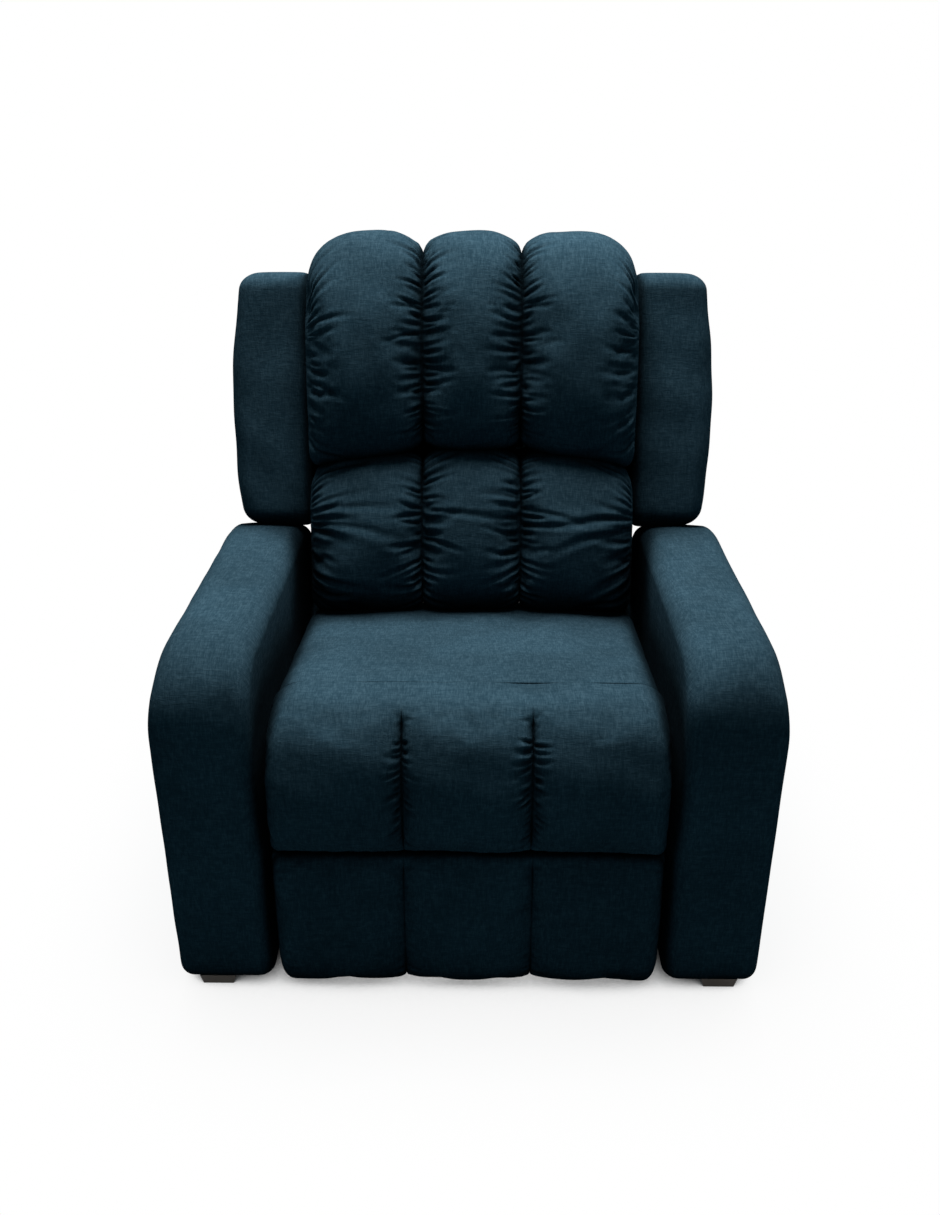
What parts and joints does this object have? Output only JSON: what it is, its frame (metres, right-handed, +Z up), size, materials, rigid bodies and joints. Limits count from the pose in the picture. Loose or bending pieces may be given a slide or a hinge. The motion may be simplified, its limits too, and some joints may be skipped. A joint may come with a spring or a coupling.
{
  "type": "lift recliner chair",
  "caption": "Powered lift recliner chair with channelled back, seat bolster and leg rest, side wings, padded arms, lift linkage and folding leg rest linkage.",
  "frame": {"origin": "on the floor under the centre of the chair's bounding box", "axes": "+X to the sitter's left as seen when seated (the viewer's right in front of the chair), -Y the way the chair faces, +Z up"},
  "size_m": [0.92, 0.88, 1.0511],
  "materials": {
    "upholstery": "dark blue-grey woven cloth",
    "frame_steel": "black powder coat",
    "zinc": "zinc plated",
    "timber": "plain plywood and beech",
    "black_plastic": "moulded black",
    "foot_plastic": "moulded brown",
    "button_grey": "moulded grey"
  },
  "bodies": {
    "base": {"base_rail_left": "frame_steel", "base_rail_right": "frame_steel", "base_cross_front": "frame_steel", "base_cross_rear": "frame_steel", "base_glides": "black_plastic", "lift_motor": "black_plastic"},
    "lift_arms": {"lift_arm_left": "frame_steel", "lift_arm_right": "frame_steel", "lift_torque_tube": "frame_steel"},
    "lift_follower_links": {"lift_followers": "frame_steel"},
    "lift_rod": {"lift_rod": "zinc"},
    "chassis": {"side_plate_left": "frame_steel", "side_plate_right": "frame_steel", "cross_tube_front": "frame_steel", "cross_tube_rear": "frame_steel", "side_rail_left": "timber", "side_rail_right": "timber", "seat_rail_front": "timber", "seat_rail_rear": "timber", "rear_panel": "upholstery", "arm_frame_left": "timber", "arm_frame_right": "timber", "arm_pad_left": "upholstery", "arm_pad_right": "upholstery", "arm_feet": "foot_plastic", "frame_bolts": "zinc", "seat_springs": "zinc", "seat_cushion": "upholstery", "seat_bolster": "upholstery", "recline_motor": "black_plastic", "leg_motor": "black_plastic", "control_panel": "black_plastic"},
    "back": {"back_bracket_left": "frame_steel", "back_bracket_right": "frame_steel", "back_crank": "frame_steel", "back_stile_left": "timber", "back_stile_right": "timber", "back_rail_top": "timber", "back_rail_bottom": "timber", "back_springs": "zinc", "lumbar_cushion": "upholstery", "head_cushion": "upholstery", "wing_left": "upholstery", "wing_right": "upholstery", "outside_back": "upholstery"},
    "recline_rod": {"recline_rod": "zinc"},
    "leg_arms": {"leg_arm_left": "frame_steel", "leg_arm_right": "frame_steel", "leg_torque_tube": "frame_steel"},
    "leg_links": {"leg_links": "frame_steel"},
    "leg_guides": {"leg_guides": "frame_steel"},
    "leg_stays": {"leg_stays": "frame_steel"},
    "footrest": {"footrest_brackets": "frame_steel", "footrest_board": "timber", "footrest_pad": "upholstery"},
    "leg_rod": {"leg_rod": "zinc"},
    "button_up": {"button_up": "button_grey"},
    "button_down": {"button_down": "button_grey"}
  },
  "joints": [
    {"name": "lift", "type": "hinge", "parent": "base", "child": "lift_arms", "pos_m": [0, -0.2717, 0.0967], "axis": [1, 0, 0], "range_deg": [0, 70]},
    {"name": "chassis_tilt", "type": "hinge", "parent": "lift_arms", "child": "chassis", "pos_m": [0, 0.018, 0.1189], "axis": [-1, 0, 0], "range_deg": [0, 46.1]},
    {"name": "lift_follower_swing", "type": "hinge", "parent": "base", "child": "lift_follower_links", "pos_m": [0, -0.3134, 0.0671], "axis": [1, 0, 0], "range_deg": [0, 77.1]},
    {"name": "lift_rod_slide", "type": "slide", "parent": "base", "child": "lift_rod", "axis": [0, -1, 0], "range_m": [0, 0.0948]},
    {"name": "recline", "type": "hinge", "parent": "chassis", "child": "back", "pos_m": [0, 0.18, 0.4], "axis": [-1, 0, 0], "range_deg": [0, 35]},
    {"name": "recline_rod_slide", "type": "slide", "parent": "chassis", "child": "recline_rod", "axis": [0, -1, 0], "range_m": [0, 0.069]},
    {"name": "leg_rest", "type": "hinge", "parent": "chassis", "child": "leg_arms", "pos_m": [0, -0.3, 0.26], "axis": [-1, 0, 0], "range_deg": [0, 90]},
    {"name": "leg_link_fold", "type": "hinge", "parent": "leg_arms", "child": "leg_links", "pos_m": [0, -0.324, 0.092], "axis": [1, 0, 0], "range_deg": [0, 125.2]},
    {"name": "footrest_tilt", "type": "hinge", "parent": "leg_links", "child": "footrest", "pos_m": [0, -0.382, 0.238], "axis": [-1, 0, 0], "range_deg": [0, 125.2]},
    {"name": "leg_guide_swing", "type": "hinge", "parent": "chassis", "child": "leg_guides", "pos_m": [0, -0.318, 0.243], "axis": [-1, 0, 0], "range_deg": [0, 95.4]},
    {"name": "leg_stay_fold", "type": "hinge", "parent": "leg_arms", "child": "leg_stays", "pos_m": [0, -0.327, 0.052], "axis": [1, 0, 0], "range_deg": [0, 125.2]},
    {"name": "leg_rod_slide", "type": "slide", "parent": "chassis", "child": "leg_rod", "axis": [0, -1, 0], "range_m": [0, 0.0945]},
    {"name": "button_up_press", "type": "slide", "parent": "chassis", "child": "button_up", "axis": [-1, 0, 0], "range_m": [0, 0.0015], "stiffness_N_per_m": 1200, "springref_m": -0.0005},
    {"name": "button_down_press", "type": "slide", "parent": "chassis", "child": "button_down", "axis": [-1, 0, 0], "range_m": [0, 0.0015], "stiffness_N_per_m": 1200, "springref_m": -0.0005}
  ],
  "couplings": [
    {"joint": "chassis_tilt", "follows": "lift", "ratio": 0.65714},
    {"joint": "lift_follower_swing", "follows": "lift", "ratio": 1.099},
    {"joint": "lift_rod_slide", "follows": "lift", "m_per_rad": 0.0775},
    {"joint": "recline_rod_slide", "follows": "recline", "m_per_rad": 0.1127},
    {"joint": "leg_link_fold", "follows": "leg_rest", "ratio": 1.3889},
    {"joint": "footrest_tilt", "follows": "leg_rest", "ratio": 1.3889},
    {"joint": "leg_guide_swing", "follows": "leg_rest", "ratio": 1.0582},
    {"joint": "leg_stay_fold", "follows": "leg_rest", "ratio": 1.3889},
    {"joint": "leg_rod_slide", "follows": "leg_rest", "m_per_rad": 0.06}
  ]
}
